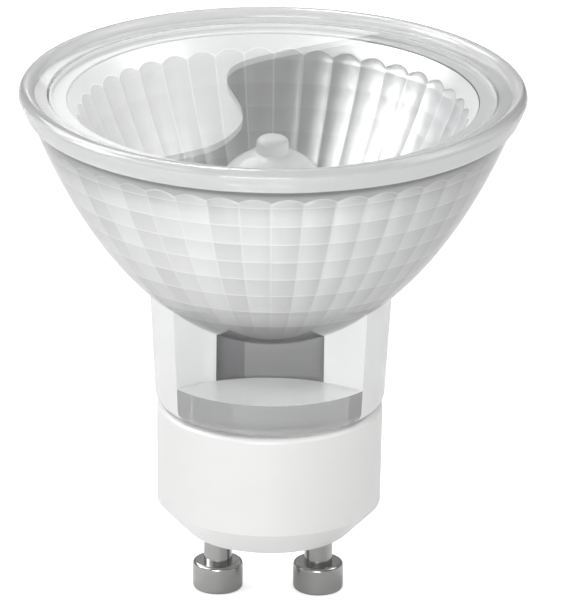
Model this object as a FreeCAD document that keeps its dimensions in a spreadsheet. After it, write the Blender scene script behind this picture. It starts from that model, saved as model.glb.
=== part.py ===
import FreeCAD, Part
import math
import os

import Sketcher

# GU10 spotlight bulb: a pressed-glass reflector with a faceted mirror bowl, a halogen capsule cemented in
# its neck, a flat cover glass, and a ceramic base with two mushroom-headed contact pins.
# Millimetres. Origin on the lamp axis in the flat foot of the base, +Z towards the cover glass, and the
# two pins in line along X.

SIZES = (
    # Rim and cover glass
    ("rim_diameter", 50.0, "widest diameter of the rim"),
    ("rim_bead_radius", 0.8, "radius of the rounded bead of the rim"),
    ("rim_width", 2.8, "rim from its widest place in to the wall round the cover glass"),
    ("rim_depth", 2.45, "height of the rim, from its top to its lower edge"),
    ("rim_tuck", 0.6, "lower edge of the rim, in from its widest place"),
    ("rim_undercut", 0.5, "step from the lower edge of the rim in to the bowl"),
    ("seat_width", 2.0, "seat of the cover glass, from its wall in to the mouth"),
    ("cover_recess", 0.85, "cover glass below the top of the rim"),
    ("cover_thickness", 1.5, "thickness of the cover glass"),
    ("cover_clearance", 0.2, "gap round the edge of the cover glass"),
    ("cover_bevel", 0.25, "ground bevel on the edges of the cover glass"),
    ("seal_thickness", 0.2, "sealing ring between the seat and the cover glass"),
    ("seal_inset", 0.1, "inner edge of the sealing ring, out from the mouth"),
    # Bowl and mirror, both parts of ellipses about one centre on the axis
    ("bowl_depth", 26.0, "bottom of the bowl up to the top of the rim"),
    ("bowl_half_depth", 60.0, "half depth of the ellipse of the outside of the bowl"),
    ("bowl_floor_thickness", 2.0, "glass between the lowest points of the two ellipses"),
    ("mirror_floor_rise", 1.9, "flat floor of the mirror above the lowest point of its ellipse"),
    ("facet_columns", 40, "flutes round the mirror"),
    ("facet_rows", 9, "rows of facets down the mirror"),
    ("flute_strips", 3, "flat strips across a flute"),
    ("flute_depth", 0.18, "depth of a flute at the mouth"),
    ("band_flare", 0.6, "plain band at the mouth, proud of the ridges at the seat"),
    ("band_height", 1.7, "plain band at the mouth, down to the ridges"),
    # Neck of the reflector
    ("neck_overhang", 0.2, "foot of the neck, past the lip of the base"),
    ("neck_flare", 0.6, "widening of the neck up to the bowl"),
    ("neck_inset", 0.6, "top edge of the neck, inside the outside of the bowl"),
    ("neck_edge_radius", 1.4, "rounded edge of the neck on the base"),
    ("collar_height", 3.7, "neck from the base up to the floor of the recesses"),
    ("recess_height", 3.2, "recesses from their floor up to the bottom of the bowl"),
    ("recess_radius", 13.9, "radius of a recess"),
    ("web_wall", 1.2, "glass between a recess and the slot"),
    ("spigot_diameter", 18.0, "diameter of the spigot in the base"),
    ("spigot_length", 6.1, "length of the spigot in the base"),
    # Capsule
    ("bulb_diameter", 12.0, "diameter of the capsule"),
    ("bulb_wall", 1.0, "wall of the capsule"),
    ("bulb_gap", 0.4, "gap between the floor of the mirror and the capsule"),
    ("bulb_shoulder", 2.2, "rounded lower shoulder of the capsule"),
    ("tip_diameter", 3.2, "diameter of the exhaust tip"),
    ("tip_length", 1.3, "exhaust tip above the dome"),
    ("tip_edge_radius", 0.7, "rounded edge of the exhaust tip"),
    ("tip_clearance", 3.95, "gap between the exhaust tip and the cover glass"),
    ("pinch_inset", 0.75, "side of the pinch, in from the side of the capsule"),
    ("pinch_thickness", 3.3, "pinch along Y"),
    ("pinch_lift", 0.9, "bottom of the pinch above the lip of the base"),
    ("pinch_end_gap", 0.6, "cement between the slot and the pinch along X"),
    ("pinch_side_gap", 0.75, "cement between the slot and the pinch along Y"),
    ("cement_height", 6.8, "height of the cement in the slot"),
    # Wires, foils and coil
    ("wire_spacing", 5.8, "spacing of the wires in the pinch"),
    ("foil_width", 2.4, "width of a seal foil"),
    ("foil_length", 3.6, "length of a seal foil"),
    ("foil_thickness", 0.1, "thickness of a seal foil"),
    ("foil_margin", 2.8, "quartz below a seal foil"),
    ("inner_wire_diameter", 0.5, "diameter of the wires inside the capsule"),
    ("outer_wire_diameter", 0.6, "diameter of the wires to the pins"),
    ("wire_bend", 0.8, "bend radius of the wires"),
    ("wire_drop", 1.5, "straight wire below the pinch before it spreads to the pin"),
    ("coil_clearance", 0.05, "gap between the filament and the wire inside its ends"),
    ("coil_wire_diameter", 0.3, "diameter of the filament wire"),
    ("coil_pitch", 1.0, "spacing of the turns of the filament"),
    ("coil_rise", 4.1, "bottom of the filament above the bottom of the capsule"),
    ("coil_headroom", 4.4, "top of the filament below the top of the dome"),
    ("coil_grip", 1.0, "wire inside each end of the filament"),
    # Ceramic base
    ("cap_height", 13.1, "height of the base"),
    ("cap_wall", 1.6, "wall of the base at its lip"),
    ("cap_draft", 0.1, "narrowing of the base from its lip down to the chamfer"),
    ("cap_chamfer_width", 2.8, "chamfer in to the flat foot"),
    ("cap_chamfer_height", 2.9, "height of the chamfer"),
    ("cap_lip_radius", 0.5, "rounded lip of the base"),
    ("cap_floor", 4.0, "floor of the base"),
    ("base_cement_thickness", 0.6, "cement round the spigot"),
    ("base_cement_height", 4.6, "height of the cement round the spigot"),
    # Contact pins
    ("pin_spacing", 10.0, "spacing of the contact pins"),
    ("pin_head_diameter", 5.0, "diameter of a pin head"),
    ("pin_head_height", 2.9, "height of a pin head"),
    ("pin_shank_diameter", 2.8, "diameter of a pin shank"),
    ("pin_shank_length", 4.0, "shank between the base and the head"),
    ("pin_edge_radius", 0.35, "rounded edges of a pin head"),
    ("pin_collar_diameter", 3.6, "collar of a pin, sunk in the foot of the base"),
    ("pin_collar_height", 0.6, "height of that collar"),
    ("pin_bore_diameter", 1.4, "bore of a pin"),
    ("pin_crimp_length", 1.0, "narrow end of the bore, round the wire"),
    ("pin_solid_length", 3.4, "solid end of a pin, below the wire"),
    ("rivet_diameter", 4.4, "turned-over end of a pin inside the base"),
    ("rivet_height", 0.6, "height of that end"),
)

doc = FreeCAD.newDocument("gu10_spotlight_bulb")
sheet = doc.addObject("Spreadsheet::Sheet", "sizes")
for row, (alias, value, meaning) in enumerate(SIZES, start=1):
    sheet.set(f"A{row}", meaning)
    sheet.set(f"B{row}", str(value))
    sheet.setAlias(f"B{row}", alias)
doc.recompute()

# Heights and radii that several pieces share, as formulas of the sheet, from the base up to the rim
CAP_BORE = "(sizes.spigot_diameter / 2 + sizes.base_cement_thickness)"
CAP_TOP_RADIUS = f"({CAP_BORE} + sizes.cap_wall)"
SPIGOT_BOTTOM = "(sizes.cap_height - sizes.spigot_length)"
LEDGE_HEIGHT = "(sizes.cap_height + sizes.collar_height)"
BOWL_BOTTOM = f"({LEDGE_HEIGHT} + sizes.recess_height)"
BOWL_CENTRE = f"({BOWL_BOTTOM} + sizes.bowl_half_depth)"
RIM_TOP = f"({BOWL_BOTTOM} + sizes.bowl_depth)"
RIM_RADIUS = "sizes.rim_diameter / 2"
BEAD_CENTRE_RADIUS = f"({RIM_RADIUS} - sizes.rim_bead_radius)"
BEAD_CENTRE_HEIGHT = f"({RIM_TOP} - sizes.rim_bead_radius)"
SKIRT_RADIUS = f"({RIM_RADIUS} - sizes.rim_tuck)"
SKIRT_HEIGHT = f"({RIM_TOP} - sizes.rim_depth)"
SEAT_WALL_RADIUS = f"({RIM_RADIUS} - sizes.rim_width)"
MOUTH_EDGE_RADIUS = f"({SEAT_WALL_RADIUS} - sizes.seat_width)"
COVER_EDGE_RADIUS = f"({SEAT_WALL_RADIUS} - sizes.cover_clearance)"
COVER_TOP = f"({RIM_TOP} - sizes.cover_recess)"
COVER_BOTTOM = f"({COVER_TOP} - sizes.cover_thickness)"
SEAT_HEIGHT = f"({COVER_BOTTOM} - sizes.seal_thickness)"
MIRROR_DEPTH = "(sizes.bowl_half_depth - sizes.bowl_floor_thickness)"
MIRROR_FLOOR = f"({BOWL_BOTTOM} + sizes.bowl_floor_thickness + sizes.mirror_floor_rise)"
MIRROR_MOUTH_RADIUS = f"({MOUTH_EDGE_RADIUS} - sizes.band_flare)"
BULB_BOTTOM = f"({MIRROR_FLOOR} + sizes.bulb_gap)"
BULB_TOP = f"({COVER_BOTTOM} - sizes.tip_clearance - sizes.tip_length)"
DOME_CENTRE = f"({BULB_TOP} - sizes.bulb_diameter / 2)"
PINCH_WIDTH = "(sizes.bulb_diameter - 2 * sizes.pinch_inset)"
PINCH_BOTTOM = "(sizes.cap_height + sizes.pinch_lift)"
SLOT_WIDTH = f"({PINCH_WIDTH} + 2 * sizes.pinch_end_gap)"
SLOT_DEPTH = "(sizes.pinch_thickness + 2 * sizes.pinch_side_gap)"
FOIL_BOTTOM = f"({PINCH_BOTTOM} + sizes.foil_margin)"
FOIL_TOP = f"({FOIL_BOTTOM} + sizes.foil_length)"
COIL_BOTTOM = f"({BULB_BOTTOM} + sizes.coil_rise)"
COIL_TOP = f"({BULB_TOP} - sizes.coil_headroom)"
COIL_RADIUS = "(sizes.inner_wire_diameter + sizes.coil_wire_diameter) / 2 + sizes.coil_clearance"
PIN_END = "-(sizes.pin_shank_length + sizes.pin_head_height)"
WIRE_END = f"({PIN_END} + sizes.pin_solid_length)"


def spread(half_depth, height):
    """How far an ellipse of a half depth has spread at a height, as a share of its half width."""
    return f"sqrt(1 - (({BOWL_CENTRE} - {height}) / {half_depth}) ^ 2)"


def mirror_radius(height):
    """The radius of the mirror's ellipse at a height, both as formulas."""
    return f"{MIRROR_MOUTH_RADIUS} * {spread(MIRROR_DEPTH, height)} / {spread(MIRROR_DEPTH, SEAT_HEIGHT)}"


def number(formula):
    """The present value of a formula of the sheet."""
    return float(sheet.evalExpression(str(formula)))


def point(x, y, z=0.0):
    return FreeCAD.Vector(x, y, z)


def origin_plane(body, role):
    return next(item for item in body.Origin.OriginFeatures if item.Role == role)


def new_sketch(body, name, plane, height=None):
    """A sketch on a plane of its body's own origin, raised along the plane's normal by a formula."""
    sketch = body.newObject("Sketcher::SketchObject", name)
    sketch.AttachmentSupport = (origin_plane(body, plane), [""])
    sketch.MapMode = "FlatFace"
    if height is not None:
        sketch.setExpression("AttachmentOffset.Base.z", height)
    return sketch


def bind(sketch, constraint, formula):
    index = sketch.addConstraint(constraint)
    sketch.setExpression(f"Constraints[{index}]", formula)


def pin_corner(sketch, edge, end, corner):
    """Holds one end of an edge at the formulas of its corner, or on an axis where a coordinate is zero."""
    for axis, kind, formula in ((-2, "DistanceX", corner[0]), (-1, "DistanceY", corner[1])):
        if formula == "0":
            sketch.addConstraint(Sketcher.Constraint("PointOnObject", edge, end, axis))
        else:
            bind(sketch, Sketcher.Constraint(kind, -1, 1, edge, end, number(formula)), formula)


def arc_centre(start, finish, radius, leftward):
    chord = finish - start
    half = chord.Length / 2
    rise = math.sqrt(max(radius * radius - half * half, 0.0))
    normal = point(-chord.y, chord.x).normalize() * (rise if leftward else -rise)
    return (start + finish) * 0.5 + normal


def add_arc(sketch, start, finish, bend):
    """An arc from start to finish; bend is (radius formula, "left" or "right") for the side it turns to."""
    radius = number(bend[0])
    leftward = bend[1] == "left"
    centre = arc_centre(start, finish, radius, leftward)
    first, last = (start, finish) if leftward else (finish, start)
    angles = [math.atan2(end.y - centre.y, end.x - centre.x) for end in (first, last)]
    circle = Part.Circle(centre, point(0, 0, 1), radius)
    edge = sketch.addGeometry(Part.ArcOfCircle(circle, angles[0], angles[1]))
    bind(sketch, Sketcher.Constraint("Radius", edge, radius), bend[0])
    return edge, (1, 2) if leftward else (2, 1)


def add_ellipse_arc(sketch, start, finish, half_width, half_depth, centre_height):
    """An arc of an upright ellipse centred on the axis, from its lowest point out to finish."""
    wide, deep, middle = (number(item) for item in (half_width, half_depth, centre_height))
    ellipse = Part.Ellipse(point(0, middle - deep), point(wide, middle), point(0, middle))
    edge = sketch.addGeometry(Part.ArcOfEllipse(ellipse, ellipse.parameter(start), ellipse.parameter(finish)))
    sketch.exposeInternalGeometry(edge)
    bind(sketch, Sketcher.Constraint("Distance", edge + 1, 2 * deep), f"2 * {half_depth}")
    bind(sketch, Sketcher.Constraint("Distance", edge + 2, 2 * wide), f"2 * {half_width}")
    return edge, (1, 2)


def outline(sketch, corners):
    """A closed outline. A corner is (x, y), or (x, y, bend) where the edge that leads to it is curved."""
    places = [point(number(corner[0]), number(corner[1])) for corner in corners]
    edges = []
    for index, corner in enumerate(corners):
        start, finish = places[index - 1], places[index]
        bend = corner[2] if len(corner) > 2 else None
        if bend is None:
            edge, ends = sketch.addGeometry(Part.LineSegment(start, finish)), (1, 2)
        elif bend[0] == "ellipse":
            edge, ends = add_ellipse_arc(sketch, start, finish, *bend[1:])
        else:
            edge, ends = add_arc(sketch, start, finish, bend)
        edges.append((edge, ends))
    for index, corner in enumerate(corners):
        edge, ends = edges[index]
        next_edge, next_ends = edges[(index + 1) % len(edges)]
        sketch.addConstraint(Sketcher.Constraint("Coincident", edge, ends[1], next_edge, next_ends[0]))
        pin_corner(sketch, edge, ends[1], corner)


def rectangle(sketch, width, depth):
    """A rectangle centred on the sketch's origin."""
    left, right = f"-{width} / 2", f"{width} / 2"
    front, back = f"-{depth} / 2", f"{depth} / 2"
    outline(sketch, ((left, front), (right, front), (right, back), (left, back)))


def circle(sketch, x, y, radius):
    """A circle at two formulas, either of which may be zero."""
    edge = sketch.addGeometry(Part.Circle(point(number(x), number(y)), point(0, 0, 1), number(radius)))
    pin_corner(sketch, edge, 3, (x, y))
    bind(sketch, Sketcher.Constraint("Radius", edge, number(radius)), radius)


def turn(body, name, kind, corners):
    """A revolved solid or cut about Z, from an outline of (radius, height) corners."""
    sketch = new_sketch(body, f"{name}_outline", "XZ_Plane")
    outline(sketch, corners)
    feature = body.newObject(f"PartDesign::{kind}", name)
    feature.Profile = sketch
    feature.ReferenceAxis = (sketch, ["V_Axis"])
    feature.Angle = 360
    return feature


def extrude(body, name, kind, sketch, length, upward):
    """A pad or pocket from a sketch, up or down along Z by a formula."""
    feature = body.newObject(f"PartDesign::{kind}", name)
    feature.Profile = sketch
    feature.setExpression("Length", length)
    feature.Reversed = upward if kind == "Pocket" else not upward
    return feature


def new_body(label):
    body = doc.addObject("PartDesign::Body", label)
    body.Label = label
    return body


def contact_pin(label, side):
    """A turned pin, its collar sunk in the foot of the base and its hollow end turned over on the floor."""
    body = new_body(label)
    bore, crimp = "sizes.pin_bore_diameter / 2", "sizes.outer_wire_diameter / 2"
    head, shank = "sizes.pin_head_diameter / 2", "sizes.pin_shank_diameter / 2"
    collar, rivet = "sizes.pin_collar_diameter / 2", "sizes.rivet_diameter / 2"
    edge = ("sizes.pin_edge_radius", "left")
    crimp_top = f"{WIRE_END} + sizes.pin_crimp_length"
    rivet_top = "sizes.cap_floor + sizes.rivet_height"
    turn(body, f"{label}_turned", "Revolution", (
        ("0", PIN_END),
        (f"{head} - sizes.pin_edge_radius", PIN_END),
        (head, f"{PIN_END} + sizes.pin_edge_radius", edge),
        (head, "-sizes.pin_shank_length - sizes.pin_edge_radius"),
        (f"{head} - sizes.pin_edge_radius", "-sizes.pin_shank_length", edge),
        (shank, "-sizes.pin_shank_length"),
        (shank, "0"),
        (collar, "0"),
        (collar, "sizes.pin_collar_height"),
        (shank, "sizes.pin_collar_height"),
        (shank, "sizes.cap_floor"),
        (rivet, "sizes.cap_floor"),
        (rivet, rivet_top),
        (bore, rivet_top),
        (bore, crimp_top),
        (crimp, crimp_top),
        (crimp, WIRE_END),
        ("0", WIRE_END),
    ))
    body.setExpression("Placement.Base.x", f"{side} * sizes.pin_spacing / 2")
    return body


def base_cap(label):
    """The ceramic cup: chamfered foot, slight draft, rounded lip and two stepped holes for the pins."""
    body = new_body(label)
    lip = "sizes.cap_lip_radius"
    bottom_radius = f"{CAP_TOP_RADIUS} - sizes.cap_draft"
    turn(body, "cup", "Revolution", (
        ("0", "0"),
        (f"{bottom_radius} - sizes.cap_chamfer_width", "0"),
        (bottom_radius, "sizes.cap_chamfer_height"),
        (CAP_TOP_RADIUS, f"sizes.cap_height - {lip}"),
        (f"{CAP_TOP_RADIUS} - {lip}", "sizes.cap_height", (lip, "left")),
        (CAP_BORE, "sizes.cap_height"),
        (CAP_BORE, "sizes.cap_floor"),
        ("0", "sizes.cap_floor"),
    ))
    for name, diameter, depth in (
        ("pin_holes", "sizes.pin_shank_diameter", "sizes.cap_floor"),
        ("collar_recesses", "sizes.pin_collar_diameter", "sizes.pin_collar_height"),
    ):
        holes = new_sketch(body, f"{name}_outline", "XY_Plane")
        for side in (-1, 1):
            circle(holes, f"{side} * sizes.pin_spacing / 2", "0", f"{diameter} / 2")
        extrude(body, name, "Pocket", holes, depth, True)
    return body


def reflector_blank(label):
    """The pressed glass before its facets: neck with two recesses, bowl, rim, mouth and slot."""
    body = new_body(label)
    bowl_edge = f"({SKIRT_RADIUS} - sizes.rim_undercut)"
    bowl_half_width = f"({bowl_edge} / {spread('sizes.bowl_half_depth', SKIRT_HEIGHT)})"
    foot = f"({CAP_TOP_RADIUS} + sizes.neck_overhang)"
    top = f"({foot} + sizes.neck_flare)"
    inset_spread = f"(({top} + sizes.neck_inset) / {bowl_half_width})"
    neck_top = f"({BOWL_CENTRE} - sizes.bowl_half_depth * sqrt(1 - {inset_spread} ^ 2))"
    spigot, edge = "sizes.spigot_diameter / 2", "sizes.neck_edge_radius"
    turn(body, "neck", "Revolution", (
        ("0", SPIGOT_BOTTOM),
        (spigot, SPIGOT_BOTTOM),
        (spigot, "sizes.cap_height"),
        (f"{foot} - {edge}", "sizes.cap_height"),
        (foot, f"sizes.cap_height + {edge}", (edge, "left")),
        (top, neck_top),
        ("0", neck_top),
    ))
    scoops = new_sketch(body, "recesses_outline", "XY_Plane", LEDGE_HEIGHT)
    for side in (-1, 1):
        middle = f"{side} * ({SLOT_DEPTH} / 2 + sizes.web_wall + sizes.recess_radius)"
        circle(scoops, "0", middle, "sizes.recess_radius")
    extrude(body, "recesses", "Pocket", scoops, f"{neck_top} - {LEDGE_HEIGHT}", True)
    bead = ("sizes.rim_bead_radius", "left")
    turn(body, "bowl", "Revolution", (
        ("0", BOWL_BOTTOM),
        (bowl_edge, SKIRT_HEIGHT, ("ellipse", bowl_half_width, "sizes.bowl_half_depth", BOWL_CENTRE)),
        (SKIRT_RADIUS, SKIRT_HEIGHT),
        (RIM_RADIUS, BEAD_CENTRE_HEIGHT),
        (BEAD_CENTRE_RADIUS, RIM_TOP, bead),
        (f"{BEAD_CENTRE_RADIUS} - sizes.rim_bead_radius", BEAD_CENTRE_HEIGHT, bead),
        (SEAT_WALL_RADIUS, BEAD_CENTRE_HEIGHT),
        (SEAT_WALL_RADIUS, SEAT_HEIGHT),
        ("0", SEAT_HEIGHT),
    ))
    band_foot = f"({SEAT_HEIGHT} - sizes.band_height)"
    turn(body, "mouth_band", "Groove", (
        ("0", SEAT_HEIGHT),
        ("0", band_foot),
        (mirror_radius(band_foot), band_foot),
        (MOUTH_EDGE_RADIUS, SEAT_HEIGHT),
    ))
    slot = new_sketch(body, "slot_outline", "XY_Plane", SPIGOT_BOTTOM)
    rectangle(slot, SLOT_WIDTH, SLOT_DEPTH)
    extrude(body, "slot", "Pocket", slot, f"{MIRROR_FLOOR} - {SPIGOT_BOTTOM}", True)
    return body


def fluted_ring(name, height):
    """One ring of the mirror, with each column hollowed outwards between its ridges in flat strips."""
    columns, strips = (int(number(f"sizes.{count}")) for count in ("facet_columns", "flute_strips"))
    ridge = number(mirror_radius(height))
    swell = number(f"sizes.flute_depth / {MIRROR_MOUTH_RADIUS}")
    corners = []
    for step in range(columns * strips + 1):
        across = 2 * (step % strips) / strips - 1
        radius = ridge * (1 + swell * (1 - across ** 2))
        angle = 2 * math.pi * step / (columns * strips)
        corners.append(point(radius * math.cos(angle), radius * math.sin(angle), number(height)))
    ring = doc.addObject("Part::Feature", name)
    ring.Shape = Part.makePolygon(corners)
    return ring


def facet_cutter(label):
    """The hollow of the mirror: straight facets from ring to ring, from the floor up to the seat."""
    rows = int(number("sizes.facet_rows"))
    rise = f"({SEAT_HEIGHT} - {MIRROR_FLOOR}) / sizes.facet_rows"
    rings = [fluted_ring(f"ring_{row}", f"({MIRROR_FLOOR} + {row} * {rise})") for row in range(rows + 1)]
    loft = doc.addObject("Part::Loft", label)
    loft.Sections = rings
    loft.Solid = True
    loft.Ruled = True
    return loft


def cut(label, base, tools):
    """A base less one tool or several."""
    if len(tools) > 1:
        tool = doc.addObject("Part::Compound", f"{label}_tools")
        tool.Links = tools
    else:
        tool = tools[0]
    result = doc.addObject("Part::Cut", label)
    result.Label = label
    result.Base = base
    result.Tool = tool
    return result


def cover_glass(label):
    """A flat disc with ground bevels, on its sealing ring inside the rim."""
    body = new_body(label)
    bevel = "sizes.cover_bevel"
    turn(body, "disc", "Revolution", (
        ("0", COVER_BOTTOM),
        (f"{COVER_EDGE_RADIUS} - {bevel}", COVER_BOTTOM),
        (COVER_EDGE_RADIUS, f"{COVER_BOTTOM} + {bevel}"),
        (COVER_EDGE_RADIUS, f"{COVER_TOP} - {bevel}"),
        (f"{COVER_EDGE_RADIUS} - {bevel}", COVER_TOP),
        ("0", COVER_TOP),
    ))
    return body


def cover_seal(label):
    """The ring of sealant on the seat, under the flat of the cover glass."""
    body = new_body(label)
    inner = f"{MOUTH_EDGE_RADIUS} + sizes.seal_inset"
    outer = f"{COVER_EDGE_RADIUS} - sizes.cover_bevel"
    turn(body, "sealing_ring", "Revolution", (
        (inner, SEAT_HEIGHT), (outer, SEAT_HEIGHT), (outer, COVER_BOTTOM), (inner, COVER_BOTTOM),
    ))
    return body


def capsule_blank(label):
    """The quartz bulb, hollow, with its exhaust tip and flat pinch, before the metal sealed in it."""
    body = new_body(label)
    bulb, tip = "sizes.bulb_diameter / 2", "sizes.tip_diameter / 2"
    shoulder, tip_edge = "sizes.bulb_shoulder", "sizes.tip_edge_radius"
    tip_top = f"{BULB_TOP} + sizes.tip_length"
    tip_foot = f"{DOME_CENTRE} + sqrt(({bulb}) ^ 2 - ({tip}) ^ 2)"
    turn(body, "bulb", "Revolution", (
        ("0", BULB_BOTTOM),
        (f"{bulb} - {shoulder}", BULB_BOTTOM),
        (bulb, f"{BULB_BOTTOM} + {shoulder}", (shoulder, "left")),
        (bulb, DOME_CENTRE),
        (tip, tip_foot, (bulb, "left")),
        (tip, f"{tip_top} - {tip_edge}"),
        (f"{tip} - {tip_edge}", tip_top, (tip_edge, "left")),
        ("0", tip_top),
    ))
    pinch = new_sketch(body, "pinch_outline", "XY_Plane", PINCH_BOTTOM)
    rectangle(pinch, PINCH_WIDTH, "sizes.pinch_thickness")
    extrude(body, "pinch", "Pad", pinch, f"{BULB_BOTTOM} + {shoulder} - {PINCH_BOTTOM}", True)
    hollow = "(sizes.bulb_diameter / 2 - sizes.bulb_wall)"
    inner_shoulder = f"({shoulder} - sizes.bulb_wall)"
    floor = f"({BULB_BOTTOM} + sizes.bulb_wall)"
    turn(body, "hollow", "Groove", (
        ("0", floor),
        (f"{hollow} - {inner_shoulder}", floor),
        (hollow, f"{floor} + {inner_shoulder}", (inner_shoulder, "left")),
        (hollow, DOME_CENTRE),
        ("0", f"{DOME_CENTRE} + {hollow}", (hollow, "left")),
    ))
    return body


def box(label, width, depth, height, x, bottom):
    """A box centred on Y and on a place along X, up from a height, all as formulas."""
    block = doc.addObject("Part::Box", label)
    block.Label = label
    block.setExpression("Length", width)
    block.setExpression("Width", depth)
    block.setExpression("Height", height)
    block.setExpression("Placement.Base.x", f"{x} - ({width}) / 2")
    block.setExpression("Placement.Base.y", f"-({depth}) / 2")
    block.setExpression("Placement.Base.z", bottom)
    return block


def bent_path(name, corners, bend):
    """Straight runs in the XZ plane joined by tangent arcs of one radius."""
    places = [point(number(x), 0.0, number(z)) for x, z in corners]
    radius = number(bend)
    edges = []
    start = places[0]
    for before, corner, after in zip(places, places[1:], places[2:]):
        arriving = (corner - before).normalize()
        leaving = (after - corner).normalize()
        half_turn = arriving.getAngle(leaving) / 2
        tangent = radius * math.tan(half_turn)
        inward = (leaving - arriving).normalize()
        middle = corner + inward * (radius / math.cos(half_turn) - radius)
        entry = corner - arriving * tangent
        leave = corner + leaving * tangent
        edges.append(Part.LineSegment(start, entry).toShape())
        edges.append(Part.Arc(entry, middle, leave).toShape())
        start = leave
    edges.append(Part.LineSegment(start, places[-1]).toShape())
    path = doc.addObject("Part::Feature", name)
    path.Shape = Part.Wire(edges)
    return path


def wire(label, corners, diameter):
    """A round wire along a bent path whose first run is upright."""
    path = bent_path(f"{label}_path", corners, "sizes.wire_bend")
    section = doc.addObject("Part::Circle", f"{label}_section")
    section.setExpression("Radius", f"{diameter} / 2")
    section.setExpression("Placement.Base.x", corners[0][0])
    section.setExpression("Placement.Base.z", corners[0][1])
    sweep = doc.addObject("Part::Sweep", label)
    sweep.Label = label
    sweep.Sections = [section]
    sweep.Spine = (path, [f"Edge{index + 1}" for index in range(len(path.Shape.Edges))])
    sweep.Solid = True
    sweep.Frenet = False
    return sweep


def filament(label):
    """The tungsten coil, upright on the axis."""
    helix = doc.addObject("Part::Helix", f"{label}_line")
    helix.setExpression("Pitch", "sizes.coil_pitch")
    helix.setExpression("Height", f"{COIL_TOP} - {COIL_BOTTOM}")
    helix.setExpression("Radius", COIL_RADIUS)
    helix.setExpression("Placement.Base.z", COIL_BOTTOM)
    section = doc.addObject("Part::Circle", f"{label}_section")
    section.setExpression("Radius", "sizes.coil_wire_diameter / 2")
    section.setExpression("Placement.Base.x", COIL_RADIUS)
    section.setExpression("Placement.Base.z", COIL_BOTTOM)
    section.Placement.Rotation = FreeCAD.Rotation(point(1, 0, 0), 90)
    sweep = doc.addObject("Part::Sweep", label)
    sweep.Label = label
    sweep.Sections = [section]
    sweep.Spine = (helix, ["Edge1"])
    sweep.Solid = True
    sweep.Frenet = True
    return sweep


def filament_leads():
    """Wires from the foils to the two ends of the coil, each reaching a little way inside it."""
    left, right = "-sizes.wire_spacing / 2", "sizes.wire_spacing / 2"
    low_end = f"{COIL_BOTTOM} + sizes.coil_grip"
    high_end = f"{COIL_TOP} - sizes.coil_grip"
    spread_start = f"{BULB_BOTTOM} + sizes.bulb_shoulder"
    spread_end = f"{COIL_BOTTOM} - sizes.wire_bend"
    arch = f"{COIL_TOP} + 2 * sizes.wire_bend"
    lower = wire("filament_lead_lower", (
        (left, FOIL_TOP), (left, spread_start), ("0", spread_end), ("0", low_end),
    ), "sizes.inner_wire_diameter")
    upper = wire("filament_lead_upper", (
        (right, FOIL_TOP), (right, arch), ("0", arch), ("0", high_end),
    ), "sizes.inner_wire_diameter")
    return [lower, upper]


def lead_wire(label, side):
    """A wire from a foil out of the pinch, across to its pin and down into it."""
    inner, outer = f"{side} * sizes.wire_spacing / 2", f"{side} * sizes.pin_spacing / 2"
    spread_start = f"{PINCH_BOTTOM} - sizes.wire_drop"
    spread_end = "sizes.cap_floor + sizes.rivet_height + 2 * sizes.wire_bend"
    return wire(label, (
        (inner, FOIL_BOTTOM), (inner, spread_start), (outer, spread_end), (outer, WIRE_END),
    ), "sizes.outer_wire_diameter")


def seal_foil(label, side):
    place = f"{side} * sizes.wire_spacing / 2"
    return box(label, "sizes.foil_width", "sizes.foil_thickness", "sizes.foil_length", place, FOIL_BOTTOM)


def capsule_cement(label):
    """The cement that fills the slot round the pinch."""
    height = "sizes.cement_height"
    filling = box(f"{label}_filling", SLOT_WIDTH, SLOT_DEPTH, height, "0", PINCH_BOTTOM)
    pinch = box(f"{label}_pinch", PINCH_WIDTH, "sizes.pinch_thickness", height, "0", PINCH_BOTTOM)
    return cut(label, filling, [pinch])


def base_cement(label):
    """The ring of cement between the spigot and the ceramic cup."""
    body = new_body(label)
    inner = "sizes.spigot_diameter / 2"
    bottom = "sizes.cap_height - sizes.base_cement_height"
    turn(body, "cement_ring", "Revolution", (
        (inner, bottom), (CAP_BORE, bottom), (CAP_BORE, "sizes.cap_height"), (inner, "sizes.cap_height"),
    ))
    return body


def main():
    leads = [lead_wire("lead_wire_left", -1), lead_wire("lead_wire_right", 1)]
    foils = [seal_foil("seal_foil_left", -1), seal_foil("seal_foil_right", 1)]
    inner_leads = filament_leads()
    sealed_metal = leads + foils + inner_leads
    pieces = [
        cut("reflector", reflector_blank("reflector_blank"), [facet_cutter("facet_cutter")]),
        cover_glass("cover_glass"),
        cover_seal("cover_seal"),
        cut("capsule_envelope", capsule_blank("capsule_blank"), sealed_metal),
        filament("filament"),
        capsule_cement("capsule_cement"),
        base_cap("base_cap"),
        base_cement("base_cement"),
        contact_pin("contact_pin_left", -1),
        contact_pin("contact_pin_right", 1),
    ]
    pieces += sealed_metal
    doc.recompute()
    failed = [item.Name for item in doc.Objects if {"Invalid", "Error"} & set(item.State)]
    failed += [piece.Label for piece in pieces if piece.Shape.isNull() or not piece.Shape.isValid()]
    failed += [piece.Label for piece in pieces if len(piece.Shape.Solids) != 1]
    if failed:
        raise RuntimeError(f"not built: {failed}")
    os.makedirs("parts", exist_ok=True)
    for piece in pieces:
        piece.Shape.exportStep(f"parts/{piece.Label}.step")
        print(f"{piece.Label}: {piece.Shape.Volume:.2f} mm3, {piece.Shape.BoundBox}")


main()
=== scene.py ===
import math
from collections import namedtuple

import bmesh
import bpy
import numpy as np
from bpy.props import FloatProperty, FloatVectorProperty, IntProperty, PointerProperty
from mathutils import Matrix, Vector


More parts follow.
